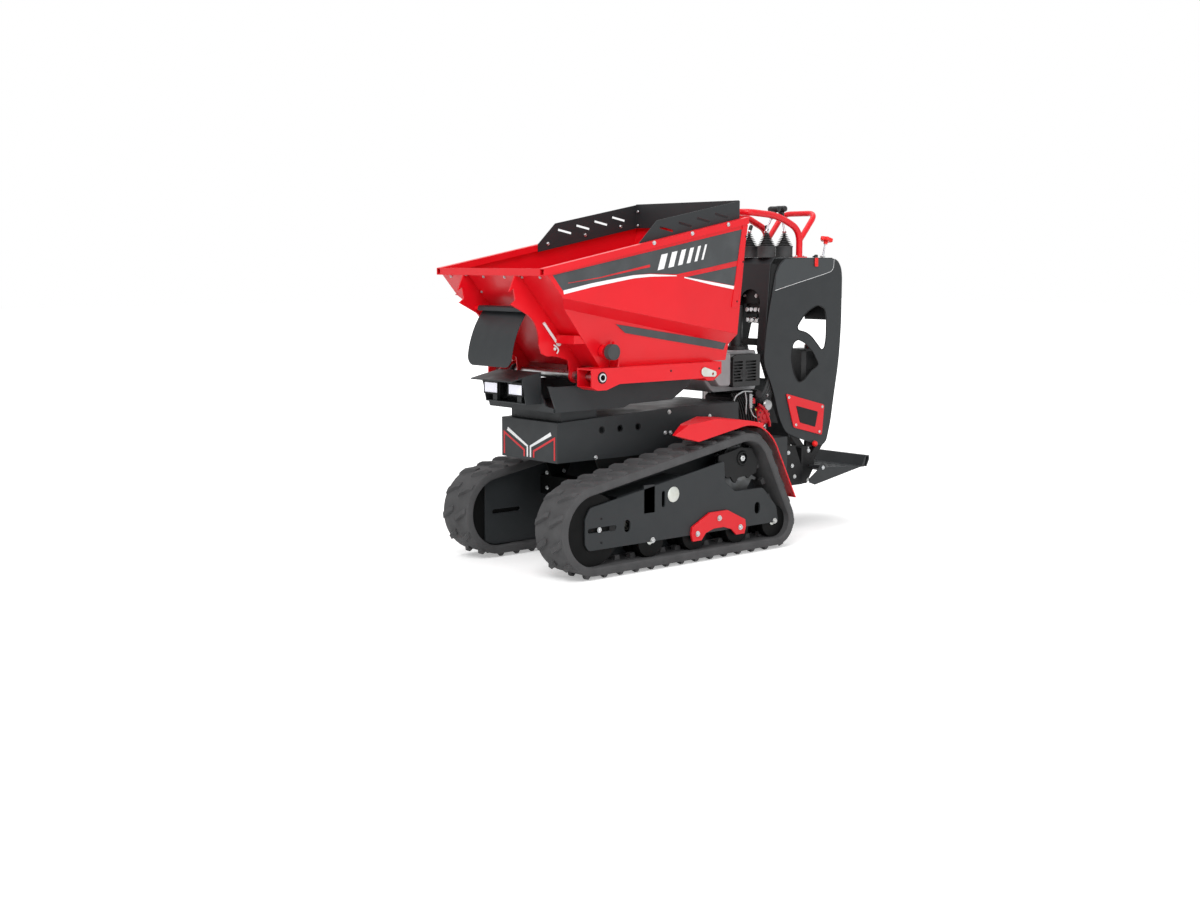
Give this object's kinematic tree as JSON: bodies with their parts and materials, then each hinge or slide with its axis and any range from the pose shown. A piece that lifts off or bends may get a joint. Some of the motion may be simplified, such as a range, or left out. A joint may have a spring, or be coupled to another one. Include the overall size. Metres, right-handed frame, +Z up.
{
  "type": "tracked mini site dumper",
  "caption": "Walk-behind tracked site dumper: rubber tracks, forward-tipping steel skip, rear control console over the engine, and a folding rider's platform.",
  "frame": {"origin": "on the ground, in the middle of the machine's length and width", "axes": "+X forward, the way the skip tips, +Y to the machine's left, +Z up"},
  "size_m": [1.838, 0.69, 1.29],
  "materials": {
    "black_plastic": "moulded plastic",
    "black_rubber": "matt moulded rubber",
    "cast_iron": "painted casting",
    "chrome": "hard chrome",
    "cylinder_paint": "satin paint",
    "dark_paint": "satin powder coat",
    "grey_plastic": "moulded plastic",
    "lamp_white": "clear lamp lens over a white reflector",
    "red_paint": "gloss powder coat",
    "red_plastic": "moulded plastic",
    "rubber": "matt moulded rubber",
    "steel": "zinc plated"
  },
  "bodies": {
    "root": {"chassis_frame": "dark_paint", "console_cowl": "dark_paint", "console_frame": "dark_paint", "control_knobs": "red_plastic", "control_levers": "steel", "cross_beams": "dark_paint", "drive_units": "cast_iron", "engine_block": "cast_iron", "engine_cover": "black_plastic", "handlebar": "red_paint", "hydraulic_tank": "grey_plastic", "idlers": "cast_iron", "lamp_bracket": "dark_paint", "left_console_panel": "dark_paint", "left_fender": "red_paint", "left_track": "rubber", "left_track_frame": "dark_paint", "lever_boots": "black_plastic", "oil_canister": "black_plastic", "rear_bracket": "dark_paint", "return_filter": "black_plastic", "right_console_panel": "dark_paint", "right_fender": "red_paint", "right_track": "rubber", "right_track_frame": "dark_paint", "rockers": "red_paint", "rollers": "cast_iron", "side_badges": "red_paint", "tipping_frame": "dark_paint", "tipping_shaft": "steel", "valve_block": "steel", "work_lights": "lamp_white"},
    "skip": {"boards": "dark_paint", "cylinder_lug": "red_paint", "front_guard": "dark_paint", "left_skip_rail": "red_paint", "right_skip_rail": "red_paint", "skip_fittings": "steel", "skip_ribs": "red_paint", "skip_stops": "black_rubber", "skip_tub": "red_paint"},
    "cylinder_barrel": {"cylinder_barrel": "cylinder_paint"},
    "cylinder_rod": {"cylinder_rod": "chrome"},
    "platform": {"foot_platform": "dark_paint"}
  },
  "joints": [
    {"name": "skip_tip", "type": "hinge", "parent": "root", "child": "skip", "pos_m": [0.648, 0, 0.68], "axis": [0, 1, 0], "range_deg": [0, 60]},
    {"name": "barrel_swing", "type": "hinge", "parent": "root", "child": "cylinder_barrel", "pos_m": [0.24, 0, 0.604], "axis": [0, -1, 0], "range_deg": [0, 15.23]},
    {"name": "rod_slide", "type": "slide", "parent": "cylinder_barrel", "child": "cylinder_rod", "axis": [0.9718, 0, 0.236], "range_m": [0, 0.0973]},
    {"name": "platform_fold", "type": "hinge", "parent": "root", "child": "platform", "pos_m": [-0.621, 0, 0.25], "axis": [0, 1, 0], "range_deg": [0, 45]}
  ],
  "couplings": [
    {"joint": "barrel_swing", "follows": "skip_tip", "ratio": 0.24713},
    {"joint": "rod_slide", "follows": "skip_tip", "m_per_rad": 0.091038}
  ]
}
